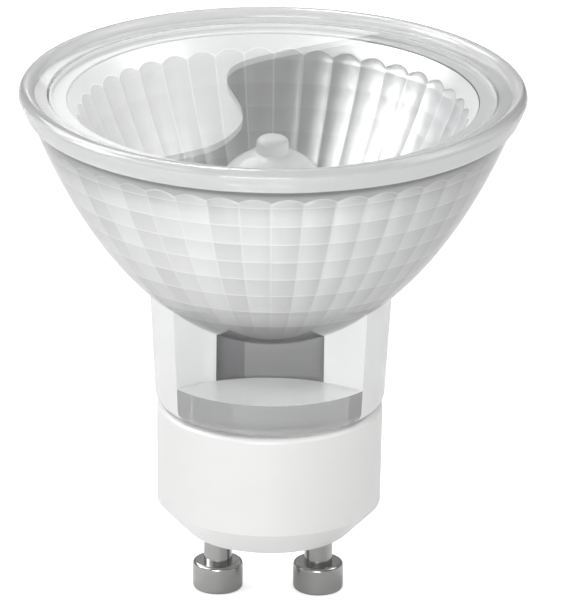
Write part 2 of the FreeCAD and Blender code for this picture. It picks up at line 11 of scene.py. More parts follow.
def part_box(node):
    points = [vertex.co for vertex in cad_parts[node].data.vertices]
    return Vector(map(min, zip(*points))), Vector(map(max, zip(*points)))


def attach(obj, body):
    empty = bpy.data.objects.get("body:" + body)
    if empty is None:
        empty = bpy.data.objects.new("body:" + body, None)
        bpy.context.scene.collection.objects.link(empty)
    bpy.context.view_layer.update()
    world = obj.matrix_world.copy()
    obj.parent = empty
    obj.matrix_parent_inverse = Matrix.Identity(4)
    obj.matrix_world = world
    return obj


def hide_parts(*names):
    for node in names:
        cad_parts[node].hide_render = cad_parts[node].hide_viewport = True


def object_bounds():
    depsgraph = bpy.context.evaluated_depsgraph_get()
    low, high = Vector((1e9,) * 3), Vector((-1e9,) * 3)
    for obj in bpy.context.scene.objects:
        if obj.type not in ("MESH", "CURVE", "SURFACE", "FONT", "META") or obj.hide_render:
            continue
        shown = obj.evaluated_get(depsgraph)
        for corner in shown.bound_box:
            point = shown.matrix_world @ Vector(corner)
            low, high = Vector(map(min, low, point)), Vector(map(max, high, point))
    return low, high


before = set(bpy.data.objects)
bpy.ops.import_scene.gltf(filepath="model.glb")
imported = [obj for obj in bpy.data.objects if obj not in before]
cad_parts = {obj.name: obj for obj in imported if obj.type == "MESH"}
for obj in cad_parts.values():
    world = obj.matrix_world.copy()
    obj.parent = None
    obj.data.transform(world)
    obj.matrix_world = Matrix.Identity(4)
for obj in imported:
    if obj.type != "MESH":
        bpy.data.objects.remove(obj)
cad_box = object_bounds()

bl_info = {
    "name": "Spotlight Bulb",
    "version": (1, 0, 0),
    "blender": (4, 5, 0),
    "location": "View3D > Sidebar > Bulb",
    "description": "Dresses the packed spotlight bulb and sets up its studio",
    "category": "Object",
}

MM = 0.001
WELD = 1e-7
SHARP_ANGLE = math.radians(32)
WHITE = (1.0, 1.0, 1.0, 1.0)
BLACK = (0.0, 0.0, 0.0, 1.0)

# Segments round the turned pieces
SEGMENTS_PER_COLUMN = 12
COVER_SEGMENTS = 192
CAPSULE_SEGMENTS = 144
# Steps along the curves of their outlines
BOWL_STEPS = 26
RIM_EDGE_STEPS = 4
BEAD_STEPS = 18
FACET_STEPS = 3
NECK_EDGE_STEPS = 8
SHOULDER_STEPS = 10
INNER_SHOULDER_STEPS = 8
DOME_STEPS = 14
TIP_STEPS = 8
# Shares of the way down the plain band and up the web where rows are put in
BAND_STOPS = (0.35, 0.7)
WEB_STOPS = (0.33, 0.67)
# Middle of the fillet at the foot of the exhaust tip, out and up, as shares of its size
FILLET_MIDDLE = (0.35, 0.3)

# Places of the reflector's finishes in its list
BOWL, RIM, BAND, MIRROR, NECK, WEB, LEDGE, COLLAR, FILM, FILM_PAINTED_SHADE, BEDDED, ARCH_GLINT = range(12)
# Places of the cover glass's finishes in its list
CLEAR, GROUND = range(2)

GLASS_INDEX = 1.5
QUARTZ_INDEX = 1.46
# Scale of the waviness in pressed glass and in blown quartz
GLASS_WAVES = 150
QUARTZ_WAVES = 220
# Painted shade: shares of the bowl's tint left at the neck, under the rim, in the line at the rim and edge on
NECK_SHADE, RIM_SHADE, LINE_SHADE, EDGE_SHADE = 0.06, 0.65, 0.2, 0.1
# Where those shades start and stop: above the bottom of the bowl for the neck, below the rim for the others
NECK_FADE, RIM_FADE, LINE_FADE = (1 * MM, 8 * MM), (3.5 * MM, 1 * MM), (0.9 * MM, 0.3 * MM)
# How fast the painted edge-on shade fades in from the outline, and how much of it is mixed in
EDGE_FALLOFF, EDGE_STRENGTH = 2.2, 0.9
# Painted highlight on the ceramic's upper edge: its brightness over the rest, where it starts and stops below the
# top
LIP_HIGHLIGHT = 1.17
LIP_FADE = (0.5 * MM, 0.2 * MM)
# Parts that the cell, the flute and the place down the cell have in the tone of the mirror film
# The cell and flute parts differ at random; the last part paints each cell darker towards its top, a painted shade
CELL_PART, FLUTE_PART, TOP_SHADE_PART = 0.2, 0.35, 0.45
# Tints and roughness of the film from its lowest tone to its highest, inside the bowl and through the glass
# Painted shade: inside the bowl the same film is given darker tints than through the glass
INNER_TINTS, OUTER_TINTS = (0.48, 0.58), (0.77, 1.03)
INNER_ROUGHNESS, OUTER_ROUGHNESS = (0.38, 0.44), (0.6, 0.7)
# Strength of the painted highlight lines between flutes and between rows, each inside and through the glass
COLUMN_LINES, ROW_LINES = (0.3, 0.6), (0.06, 1.0)
# Half of a painted highlight line, as a share of a cell
LINE_WIDTH = 0.03

# Each lamp: its name, its place, its width and height in metres, and its power in watts
LAMPS = (
    ("key_lamp", (-0.58, -0.38, 0.49), (0.35, 0.35), 1.25),
    ("fill_lamp", (-0.08, -0.85, 0.07), (0.5, 0.1), 3.4),
    ("side_lamp", (0.6, 0, 0.6), (0.35, 0.35), 1.3),
    ("back_lamp", (-0.42, 0.42, 0.6), (0.45, 0.45), 2.7),
    ("top_lamp", (-0.1, 0.4, 0.74), (0.16, 0.1), 1.5),
)
# Tones of the studio at two places from its horizon, nought, to its zenith, one
STUDIO_TONES = ((0.2, 0.3), (0.3, 0.33))
SIDE_CARD_PLACE = (-0.72, 0, 0.44)
SIDE_CARD_HALF = 0.18
SIDE_CARD_STRENGTH = 12.0
# Edge of the glare on the cover glass and the rest of its outline, in millimetres across and towards the back
GLARE_EDGE = ((15, 21), (8, 17.5), (-2.4, 10.6), (-4.6, 4.7), (-3.1, -4), (-3.2, -9.1), (-5.7, -14.9), (-11, -19))
GLARE_OUTLINE = ((-30, -22), (-30, 24), (15, 24))
GLARE_EDGE_STEPS = 8
# Mirrored eye to the glare card, in distances from that eye to the cover glass
GLARE_REACH = 1.35
GLARE_STRENGTH = 1.6

# One row of a turned mesh: a radius, a height and the index of the finish from this row to the next, each a
# number or one number for each segment, and whether the row itself is a sharp edge.
Row = namedtuple("Row", "radius height finish sharp", defaults=(0, False))


def length(name, description, millimetres):
    return FloatProperty(name=name, description=description, default=millimetres * MM, unit="LENGTH", precision=5)


def colour(name, description, default):
    return FloatVectorProperty(name=name, description=description, default=default, subtype="COLOR", min=0, max=1)


def share(name, description, default):
    return FloatProperty(name=name, description=description, default=default, subtype="FACTOR", min=0, max=1)


def angle(name, description, degrees):
    return FloatProperty(name=name, description=description, default=math.radians(degrees), subtype="ANGLE")


class ReflectorSizes(bpy.types.PropertyGroup):
    """Sizes of the pressed glass that its box in the frame doesn't give"""

    bead_radius: length("Bead radius", "Rounded bead of the rim", 0.8)
    rim_width: length("Rim width", "Widest place of the rim in to the wall round the cover glass", 2.8)
    rim_depth: length("Rim depth", "Top of the rim down to its lower edge", 2.45)
    rim_tuck: length("Rim tuck", "Lower edge of the rim, in from its widest place", 0.6)
    rim_undercut: length("Rim undercut", "Step from the rim in to the bowl", 0.5)
    rim_edge: length("Rim edge", "Rounding of the lower edge of the rim", 0.25)
    seat_width: length("Seat width", "Seat of the cover glass", 2.0)
    bowl_bottom: length("Bowl bottom", "Lowest point of the outside of the bowl", 20.0)
    bowl_half_depth: length("Bowl half depth", "Half depth of the outer ellipse", 60.0)
    wall: length("Floor thickness", "Glass between the two ellipses on the axis", 2.0)
    mirror_floor: length("Mirror floor", "Height of the flat floor of the mirror", 23.9)
    flute_depth: length("Flute depth", "Hollow of a flute at the mouth", 0.18)
    pillow: length("Pillow", "Swelling of one facet along a flute", 0.04)
    band_flare: length("Band flare", "Plain band at the mouth, proud of the ridges", 0.6)
    band_height: length("Band height", "Plain band at the mouth, down to the ridges", 1.7)
    neck_foot: length("Neck foot radius", "Radius of the neck on the base", 11.4)
    neck_top: length("Neck top radius", "Radius of the neck inside the bowl", 12.0)
    neck_top_height: length("Neck top height", "Height of the top of the neck", 25.51)
    neck_edge: length("Neck edge", "Rounded edge of the neck on the base", 1.4)
    ledge_height: length("Ledge height", "Floor of the recesses", 16.8)
    web: length("Web", "Glass between the two recesses", 7.2)
    recess_radius: length("Recess radius", "Radius of a recess", 13.9)
    spigot_radius: length("Spigot radius", "Radius of the spigot in the base", 9.0)
    # Painted shade: beyond this the film in the slot is painted darker
    slot_shade_start: length("Dark film", "Where the film in the slot turns darker, out from the axis", 2.6)
    # A painted shadow line on the seat round the mouth
    shadow_line_width: length("Film edge", "Dark edge of the film, on the seat round the mouth", 0.15)
    slot_gap: length("Slot gap", "Sides of the slot, clear of the cement in it", 0.09)
    window_edge: length("Window edge", "Cloudy glass over each end of the slot", 0.42)
    # The bright line over the flutes is a painted highlight
    arch_edge: share("Arch edge", "Share of the band that is a bright line over the flutes", 0.07)
    bed_gap: length("Bed gap", "Bedded faces, clear of the cement and ceramic that they lie on", 0.03)
    columns: IntProperty(name="Columns", description="Flutes round the mirror", default=40, min=3)
    rows: IntProperty(name="Rows", description="Rows of facets down the mirror", default=9, min=1)


class CoverSizes(bpy.types.PropertyGroup):
    """Sizes of the cover glass and its sealant that their boxes in the frame don't give"""

    bevel: length("Bevel", "Ground bevel on the edges of the glass", 0.25)
    seal_width: length("Seal width", "Ring of sealant under the glass", 1.45)
    seal_swell: length("Seal swell", "Rounding of the inner edge of the sealant", 0.05)
    seal_gap: length("Seal gap", "Sealant below the glass", 0.02)


class CapsuleSizes(bpy.types.PropertyGroup):
    """Sizes of the quartz capsule that its box in the frame doesn't give"""

    bottom: length("Bottom", "Height of the bottom of the bulb", 24.3)
    wall: length("Wall", "Wall of the bulb", 1.0)
    shoulder: length("Shoulder", "Rounded lower shoulder", 2.2)
    tip_radius: length("Tip radius", "Radius of the exhaust tip", 1.6)
    tip_length: length("Tip length", "Exhaust tip above the dome", 1.3)
    tip_edge: length("Tip edge", "Rounded edge of the exhaust tip", 0.7)
    tip_fillet: length("Tip fillet", "Soft foot of the exhaust tip", 0.3)
    pinch_width: length("Pinch width", "Flat pinch across", 10.5)
    pinch_thickness: length("Pinch thickness", "Flat pinch through", 3.3)
    pinch_corner: length("Pinch corner", "Rounded corners of the pinch", 0.6)


class FinishColours(bpy.types.PropertyGroup):
    """Colours of the finishes"""

    glass: colour("Glass", "Pressed glass", (0.97, 0.975, 0.975))
    rim: colour("Rim glass", "Pressed glass of the rim", (0.87, 0.875, 0.875))
    neck: colour("Neck glass", "Pressed glass of the neck, a little milky", (0.85, 0.855, 0.855))
    mirror: colour("Mirror film", "Bright film on the facets", (0.96, 0.96, 0.965))
    slot_film: colour("Slot film", "Dull film in the slot of the neck", (0.2, 0.2, 0.205))
    # This colour paints shade: a dark strip towards one end of the slot and a shadow line on the seat round the
    # mouth
    film_shade_paint: colour("Dark slot film", "Thicker film at one end of the slot", (0.09, 0.09, 0.095))
    # The plain band is painted darker than the mirror film, a painted shade on the same film
    plain_film: colour("Plain film", "Band of film between the flutes and the mouth", (0.74, 0.74, 0.745))
    # A painted highlight along the tops of the flutes
    painted_arch_highlight: colour("Arch line", "Bright edge over the flutes", (0.95, 0.95, 0.955))
    bedded: colour("Bedded glass", "Faces of the neck that lie on cement", (0.4, 0.4, 0.4))
    ground: colour("Ground edge", "Matt edge of the cover glass", (0.86, 0.87, 0.87))
    sealant: colour("Sealant", "Pale ring under the cover glass", (0.64, 0.65, 0.65))
    ceramic: colour("Ceramic", "White glaze of the base", (0.77, 0.77, 0.765))
    nickel: colour("Nickel", "Plating of the contact pins", (0.43, 0.428, 0.423))
    tungsten: colour("Tungsten", "Filament", (0.24, 0.24, 0.25))
    wire: colour("Wire", "Drawn wires", (0.6, 0.6, 0.59))
    foil: colour("Foil", "Seal foils", (0.55, 0.55, 0.57))
    cement: colour("Cement", "Dry cement", (0.74, 0.735, 0.71))


class StageSettings(bpy.types.PropertyGroup):
    """Camera and floor"""

    distance: length("Distance", "Camera to the point that it looks at", 1000)
    target_x: length("Target across", "Point that the camera looks at, across", 1.74)
    target_height: length("Target height", "Point that the camera looks at, above the foot of the base", 23.666)
    elevation: angle("Elevation", "Camera above the horizon", 20.397)
    roll: angle("Roll", "Turn of the camera about its line of sight", 0.664)
    lens: FloatProperty(name="Lens", description="Focal length", default=607.05, unit="CAMERA")
    floor_width: length("Floor width", "Side of the square floor", 6000)
    floor_tone: share("Floor tone", "Grey of the floor", 0.9)
    floor_glow: share("Floor glow", "Light that the eye sees the floor add of its own", 0.6)
    floor_glimpse: share("Floor glimpse", "Share of that light in a gloss or through glass", 0.1)


def piece_object(name, mesh, finishes):
    """A new object for a mesh and its finishes, in the scene."""
    for finish in finishes:
        mesh.materials.append(finish)
    piece = bpy.data.objects.new(name, mesh)
    bpy.context.scene.collection.objects.link(piece)
    return piece


def square_mesh(name, half, height=0.0):
    """A level square about the axis."""
    mesh = bpy.data.meshes.new(name)
    corners = [(-half, -half, height), (half, -half, height), (half, half, height), (-half, half, height)]
    mesh.from_pydata(corners, [], [(0, 1, 2, 3)])
    return mesh


def segment_angles(segments):
    return np.arange(segments) * (math.tau / segments)


def turned_mesh(name, shells, segments):
    """A mesh turned about Z from shells, each (rows, whether its last row joins its first)."""
    angles = segment_angles(segments)
    cosines, sines = np.cos(angles), np.sin(angles)
    work = bmesh.new()
    for rows, closed in shells:
        rings = []
        for row in rows:
            radius = np.broadcast_to(row.radius, segments)
            height = np.broadcast_to(row.height, segments)
            places = np.stack((radius * cosines, radius * sines, height), axis=1)
            rings.append([work.verts.new(place) for place in places])
        bands = list(zip(rows, rings, rings[1:] + rings[:1]))
        for row, ring, next_ring in bands if closed else bands[:-1]:
            finishes = np.broadcast_to(row.finish, segments)
            for index in range(segments):
                after = (index + 1) % segments
                face = work.faces.new((ring[index], ring[after], next_ring[after], next_ring[index]))
                face.smooth = True
                face.material_index = int(finishes[index])
        for row, ring in zip(rows, rings):
            if row.sharp:
                for index in range(segments):
                    work.edges.get((ring[index - 1], ring[index])).smooth = False
    bmesh.ops.remove_doubles(work, verts=work.verts, dist=WELD)
    bmesh.ops.dissolve_degenerate(work, edges=work.edges, dist=WELD)
    for edge in work.edges:
        if edge.calc_face_angle(0.0) > SHARP_ANGLE:
            edge.smooth = False
    if work.calc_volume(signed=True) < 0:
        bmesh.ops.reverse_faces(work, faces=work.faces)
    mesh = bpy.data.meshes.new(name)
    work.to_mesh(mesh)
    work.free()
    return mesh


def arc_rows(centre_radius, centre_height, radius, start, finish, steps, finish_index=0):
    """Rows along an arc in the outline, from one angle to another in degrees."""
    rows = []
    for turn in np.radians(np.linspace(start, finish, steps + 1)):
        across = centre_radius + radius * math.cos(turn)
        up = centre_height + radius * math.sin(turn)
        rows.append(Row(across, up, finish_index))
    return rows


def between(values):
    """A value for the middle of each segment, from the values at its ends."""
    return (values + np.roll(values, -1)) / 2


def rectangle_radius(half_width, half_depth, angles):
    """Distance from the axis to a rectangle, in each direction."""
    nearly_zero = 1e-9
    across = half_width / np.maximum(np.abs(np.cos(angles)), nearly_zero)
    along = half_depth / np.maximum(np.abs(np.sin(angles)), nearly_zero)
    return np.minimum(across, along)


class Mirror:
    """The fluted, faceted inside of the bowl."""

    def __init__(self, sizes, seat_height, mouth_radius, angles):
        self.sizes = sizes
        self.seat_height = seat_height
        self.mouth_radius = mouth_radius
        self.centre = sizes.bowl_bottom + sizes.bowl_half_depth
        self.depth = sizes.bowl_half_depth - sizes.wall
        column = angles * sizes.columns / math.tau
        across = 2 * (column - np.floor(column)) - 1
        self.swell = 1 + sizes.flute_depth / mouth_radius * (1 - across ** 2)
        self.rise = (seat_height - sizes.mirror_floor) / sizes.rows

    def spread(self, height):
        """Half width of the ellipse at a height, as a share of its widest."""
        return math.sqrt(1 - ((self.centre - height) / self.depth) ** 2)

    def ridge(self, height):
        """Radius of the ridges between flutes at a height."""
        return self.mouth_radius * self.spread(height) / self.spread(self.seat_height)

    def ring(self, row):
        """Height and radii of one ring of facet corners."""
        height = self.sizes.mirror_floor + row * self.rise
        return height, self.ridge(height) * self.swell

    def arch(self):
        """Heights and radii where the flutes run out into the plain band at the mouth."""
        low_height, low = self.ring(self.sizes.rows - 1)
        slope = (self.ring(self.sizes.rows)[1] - low) / self.rise
        band_foot = self.seat_height - self.sizes.band_height
        band_start = self.ridge(band_foot)
        band_slope = (self.mouth_radius + self.sizes.band_flare - band_start) / self.sizes.band_height
        height = (low - slope * low_height - band_start + band_slope * band_foot) / (band_slope - slope)
        return height, band_start + band_slope * (height - band_foot)


def bowl_rows(sizes, start_radius, edge_radius, edge_height):
    """The outside of the bowl, up from where the neck meets it."""
    centre = sizes.bowl_bottom + sizes.bowl_half_depth
    half_width = edge_radius / math.sqrt(1 - ((centre - edge_height) / sizes.bowl_half_depth) ** 2)
    rows = []
    for step in np.linspace(0, 1, BOWL_STEPS + 1):
        radius = start_radius + (edge_radius - start_radius) * step
        height = centre - sizes.bowl_half_depth * np.sqrt(1 - (radius / half_width) ** 2)
        rows.append(Row(radius, height, BOWL))
    return rows


def neck_radius(sizes, base_top, height):
    """Radius of the neck at a height, recesses apart."""
    foot_height = base_top + sizes.neck_edge
    climb = (height - foot_height) / (sizes.neck_top_height - foot_height)
    return sizes.neck_foot + (sizes.neck_top - sizes.neck_foot) * climb


def recess_radius(sizes, full_radius, angles):
    """Distance from the axis to the side of the neck above the ledge, in each direction."""
    centre = sizes.web / 2 + sizes.recess_radius
    towards = centre * np.abs(np.sin(angles))
    reach = towards ** 2 - (centre ** 2 - sizes.recess_radius ** 2)
    near_side = towards - np.sqrt(np.maximum(reach, 0))
    far_side = towards + np.sqrt(np.maximum(reach, 0))
    inside = (reach > 0) & (far_side > full_radius)
    return np.where(inside, np.minimum(near_side, full_radius), full_radius)


def rim_rows(sizes, skirt_radius, skirt_height, wall_radius, seat_height, mouth_edge):
    """The rim: its skirt, its bead, the flat land inside the bead, and the seat of the cover glass."""
    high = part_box("reflector")[1]
    bead_across, bead_up = high.x - sizes.bead_radius, high.z - sizes.bead_radius
    edge = sizes.rim_edge
    return [
        *arc_rows(skirt_radius - edge, skirt_height + edge, edge, -90, -10, RIM_EDGE_STEPS, RIM),
        *arc_rows(bead_across, bead_up, sizes.bead_radius, 0, 180, BEAD_STEPS, RIM),
        Row(wall_radius, bead_up, RIM, True),
        Row(wall_radius, seat_height, RIM, True),
        # A painted shadow line on the seat, at the edge of the mouth
        Row(mouth_edge + sizes.shadow_line_width, seat_height, FILM_PAINTED_SHADE),
        Row(mouth_edge, seat_height, BAND, True),
    ]


def mirror_rows(sizes, mirror, mouth_edge):
    """The plain band at the mouth and the facets below it, down to the floor."""
    upper_height, upper = mirror.arch()
    rows = []
    for step, finish in (*((stop, BAND) for stop in BAND_STOPS), (1 - sizes.arch_edge, ARCH_GLINT)):
        height = mirror.seat_height + (upper_height - mirror.seat_height) * step
        rows.append(Row(mouth_edge + (upper - mouth_edge) * step, height, finish))
    for facet_row in range(sizes.rows - 1, -1, -1):
        lower_height, lower = mirror.ring(facet_row)
        for step in range(FACET_STEPS):
            down = step / FACET_STEPS
            bulge = sizes.pillow * (1 - (2 * down - 1) ** 2)
            radius = upper + (lower - upper) * down + bulge
            height = upper_height + (lower_height - upper_height) * down
            rows.append(Row(radius, height, MIRROR, step == 0))
        upper_height, upper = lower_height, lower
    rows.append(Row(upper, upper_height, MIRROR, True))
    return rows


def slot_rows(sizes, angles, bottom):
    """The slot for the pinch: filmed on its long sides, part in painted shade, bedded in cement at its ends."""
    slot_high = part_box("capsule_cement")[1]
    slot = rectangle_radius(slot_high.x + sizes.slot_gap, slot_high.y + sizes.slot_gap, angles)
    across = slot * np.cos(angles)
    on_long_side = between(np.abs(across)) < slot_high.x
    # Towards one end the film is painted darker, a painted shade
    in_painted_shade = between(across * np.sign(np.sin(angles))) > sizes.slot_shade_start
    film = np.where(in_painted_shade, FILM_PAINTED_SHADE, FILM)
    return [
        Row(slot, sizes.mirror_floor, np.where(on_long_side, film, BEDDED), True),
        Row(slot, bottom, BEDDED, True),
        Row(sizes.spigot_radius - sizes.bed_gap, bottom, BEDDED, True),
    ]


def neck_rows(sizes, angles, neck_side, junction_height):
    """The outside of the neck, up from the base: collar, ledges, and the web between the recesses."""
    base_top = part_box("base_cap")[1].z
    slot_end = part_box("capsule_cement")[1].x
    collar_radius = neck_radius(sizes, base_top, sizes.ledge_height)
    ledge_side = recess_radius(sizes, collar_radius, angles)
    collar_finish = np.where(between(ledge_side) < collar_radius, COLLAR, NECK)
    edge, foot_height = sizes.neck_edge, base_top + sizes.bed_gap
    rows = [Row(sizes.spigot_radius - sizes.bed_gap, foot_height, BEDDED, True)]
    rows += arc_rows(sizes.neck_foot - edge, foot_height + edge, edge, -90, 0, NECK_EDGE_STEPS, collar_finish)
    rows.append(Row(collar_radius, sizes.ledge_height, LEDGE, True))
    over_slot = between(np.abs(ledge_side * np.cos(angles))) < slot_end - sizes.window_edge
    web_finish = np.where(over_slot, WEB, NECK)
    rows.append(Row(ledge_side, sizes.ledge_height, web_finish, True))
    for step in WEB_STOPS:
        height = sizes.ledge_height + (junction_height - sizes.ledge_height) * step
        rows.append(Row(ledge_side + (neck_side - ledge_side) * step, height, web_finish))
    return rows


def reflector_rows(sizes, angles):
    """The whole outline of the pressed glass: bowl, rim, seat, mirror, slot, spigot and neck."""
    low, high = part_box("reflector")
    seat_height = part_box("cover_seal")[0].z
    skirt_radius, skirt_height = high.x - sizes.rim_tuck, high.z - sizes.rim_depth
    wall_radius = high.x - sizes.rim_width
    mouth_edge = wall_radius - sizes.seat_width
    mirror = Mirror(sizes, seat_height, mouth_edge - sizes.band_flare, angles)
    neck_side = recess_radius(sizes, sizes.neck_top, angles)
    rows = bowl_rows(sizes, neck_side, skirt_radius - sizes.rim_undercut, skirt_height)
    junction_height = rows[0].height
    rows[-1] = rows[-1]._replace(finish=RIM, sharp=True)
    rows += rim_rows(sizes, skirt_radius, skirt_height, wall_radius, seat_height, mouth_edge)
    rows += mirror_rows(sizes, mirror, mouth_edge)
    rows += slot_rows(sizes, angles, low.z + sizes.bed_gap)
    rows += neck_rows(sizes, angles, neck_side, junction_height)
    return rows


def cover_rows(sizes):
    """The outline of the cover glass: clear faces and a ground edge."""
    low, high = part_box("cover_glass")
    radius, bevel = high.x, sizes.bevel
    return [
        Row(0, low.z, CLEAR),
        Row(radius - bevel, low.z, GROUND, True),
        Row(radius, low.z + bevel, GROUND),
        Row(radius, high.z - bevel, GROUND),
        Row(radius - bevel, high.z, CLEAR, True),
        Row(0, high.z, CLEAR),
    ]


def seal_rows(sizes):
    """The outline of the ring of sealant, with a rounded inner edge."""
    low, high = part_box("cover_seal")
    outer, top = high.x, high.z - sizes.seal_gap
    inner = outer - sizes.seal_width + sizes.seal_swell
    return [
        Row(outer, low.z, sharp=True),
        Row(outer, top, sharp=True),
        Row(inner, top),
        Row(inner - sizes.seal_swell, (low.z + top) / 2),
        Row(inner, low.z),
    ]


def capsule_shells(sizes, angles):
    """The quartz bulb with its tip and pinch, and the hollow inside it."""
    low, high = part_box("capsule_envelope")
    bulb, tip, fillet = high.x, sizes.tip_radius, sizes.tip_fillet
    dome_centre = high.z - sizes.tip_length - bulb
    pinch = rectangle_radius(sizes.pinch_width / 2, sizes.pinch_thickness / 2, angles)
    shoulder = arc_rows(bulb - sizes.shoulder, sizes.bottom + sizes.shoulder, sizes.shoulder, -90, 0, SHOULDER_STEPS)
    outside = [Row(0, low.z), Row(pinch, low.z, sharp=True), Row(pinch, sizes.bottom - sizes.pinch_corner)]
    outside += [Row(np.maximum(row.radius, pinch), row.height) for row in shoulder[:-1]]
    foot_angle = math.degrees(math.acos((tip + fillet) / bulb))
    outside += arc_rows(0, dome_centre, bulb, 0, foot_angle, DOME_STEPS)
    dome_edge = outside[-1].height
    outside.append(Row(tip + fillet * FILLET_MIDDLE[0], dome_edge + fillet * FILLET_MIDDLE[1]))
    outside.append(Row(tip, dome_edge + fillet))
    outside += arc_rows(tip - sizes.tip_edge, high.z - sizes.tip_edge, sizes.tip_edge, 0, 90, TIP_STEPS)
    outside.append(Row(0, high.z))
    hollow, inner_shoulder = bulb - sizes.wall, sizes.shoulder - sizes.wall
    floor = sizes.bottom + sizes.wall
    inside = [Row(0, floor)]
    inside += arc_rows(
        hollow - inner_shoulder, floor + inner_shoulder, inner_shoulder, -90, 0, INNER_SHOULDER_STEPS
    )
    inside += arc_rows(0, dome_centre, hollow, 0, 90, DOME_STEPS)
    return [(outside, False), (inside[::-1], False)]


def node_group(name, inputs, outputs):
    """An empty shader node group with its sockets, and its input and output nodes."""
    group = bpy.data.node_groups.new(name, "ShaderNodeTree")
    for socket, kind, default in inputs:
        made = group.interface.new_socket(socket, in_out="INPUT", socket_type=f"NodeSocket{kind}")
        made.default_value = default
    for socket, kind in outputs:
        group.interface.new_socket(socket, in_out="OUTPUT", socket_type=f"NodeSocket{kind}")
    return group, group.nodes.new("NodeGroupInput"), group.nodes.new("NodeGroupOutput")


def use_group(tree, group, values):
    """A node for a group, with values for its inputs."""
    node = tree.nodes.new("ShaderNodeGroup")
    node.node_tree = group
    for socket, value in values.items():
        node.inputs[socket].default_value = value
    return node


def feed(tree, value, socket):
    """Links a socket to an input, or sets a plain value there."""
    if isinstance(value, bpy.types.NodeSocket):
        tree.links.new(value, socket)
    else:
        socket.default_value = value


def calculate(tree, operation, *values):
    """The output of a new maths node, fed by sockets or plain numbers."""
    node = tree.nodes.new("ShaderNodeMath")
    node.operation = operation
    for value, socket in zip(values, node.inputs):
        feed(tree, value, socket)
    return node.outputs[0]


def blended(tree, factor, first, second):
    """A mix of two numbers, colours or sockets by a factor."""
    mix = tree.nodes.new("ShaderNodeMix")
    if isinstance(second, tuple) or getattr(second, "type", "") == "RGBA":
        mix.data_type = "RGBA"
    for value, socket in ((factor, "Factor"), (first, "A"), (second, "B")):
        feed(tree, value, mix.inputs[socket])
    return mix.outputs["Result"]


def axes(tree, space="Object"):
    """X, Y and Z in a space."""
    place = tree.nodes.new("ShaderNodeTexCoord")
    parts = tree.nodes.new("ShaderNodeSeparateXYZ")
    tree.links.new(place.outputs[space], parts.inputs[0])
    return parts.outputs


def mottle_group():
    """Soft cloudy variation of colour, roughness and height, from noise in object space."""
    name = "Mottle"
    if name in bpy.data.node_groups:
        return bpy.data.node_groups[name]
    grey = (0.5, 0.5, 0.5, 1.0)
    group, given, result = node_group(
        name,
        (
            ("Scale", "Float", 400.0),
            ("Low Colour", "Color", grey),
            ("High Colour", "Color", grey),
            ("Low Roughness", "Float", 0.3),
            ("High Roughness", "Float", 0.4),
        ),
        (("Color", "Color"), ("Roughness", "Float"), ("Height", "Float")),
    )
    place = group.nodes.new("ShaderNodeTexCoord")
    noise = group.nodes.new("ShaderNodeTexNoise")
    noise.inputs["Detail"].default_value = 4.0
    group.links.new(place.outputs["Object"], noise.inputs["Vector"])
    group.links.new(given.outputs["Scale"], noise.inputs["Scale"])
    cloud = noise.outputs["Fac"]
    tone = blended(group, cloud, given.outputs["Low Colour"], given.outputs["High Colour"])
    rough = blended(group, cloud, given.outputs["Low Roughness"], given.outputs["High Roughness"])
    for value, socket in ((tone, "Color"), (rough, "Roughness"), (cloud, "Height")):
        group.links.new(value, result.inputs[socket])
    return group


def facet_group():
    """The cells of a fluted, faceted bowl: a tone for each cell, and the lines between them."""
    group, given, result = node_group(
        "Facets",
        (("Columns", "Float", 40.0), ("Floor", "Float", 0.0), ("Rise", "Float", 0.01), ("Line", "Float", 0.1)),
        (("Tone", "Float"), ("Column Line", "Float"), ("Row Line", "Float")),
    )
    nodes, links = group.nodes, group.links
    place = axes(group)
    turns = calculate(group, "DIVIDE", calculate(group, "ARCTAN2", place["Y"], place["X"]), math.tau)
    column = calculate(group, "MULTIPLY", turns, given.outputs["Columns"])
    above = calculate(group, "SUBTRACT", place["Z"], given.outputs["Floor"])
    row = calculate(group, "DIVIDE", above, given.outputs["Rise"])
    cell = nodes.new("ShaderNodeCombineXYZ")
    # The lines between cells are masks for painted highlights
    for value, socket, line in ((column, "X", "Column Line"), (row, "Y", "Row Line")):
        links.new(calculate(group, "FLOOR", value), cell.inputs[socket])
        inside = calculate(group, "FRACT", value)
        off_middle = calculate(group, "ABSOLUTE", calculate(group, "SUBTRACT", inside, 0.5))
        from_edge = calculate(group, "SUBTRACT", 0.5, off_middle)
        links.new(calculate(group, "LESS_THAN", from_edge, given.outputs["Line"]), result.inputs[line])
    cell_tone = nodes.new("ShaderNodeTexWhiteNoise")
    cell_tone.noise_dimensions = "2D"
    links.new(cell.outputs[0], cell_tone.inputs["Vector"])
    flute_tone = nodes.new("ShaderNodeTexWhiteNoise")
    flute_tone.noise_dimensions = "1D"
    links.new(calculate(group, "FLOOR", column), flute_tone.inputs["W"])
    # Each cell is painted darker towards its top, a painted shade
    down = calculate(group, "SUBTRACT", 1.0, calculate(group, "FRACT", row))
    tone = calculate(group, "MULTIPLY", down, TOP_SHADE_PART)
    tone = calculate(group, "MULTIPLY_ADD", cell_tone.outputs["Value"], CELL_PART, tone)
    tone = calculate(group, "MULTIPLY_ADD", flute_tone.outputs["Value"], FLUTE_PART, tone)
    links.new(tone, result.inputs["Tone"])
    return group


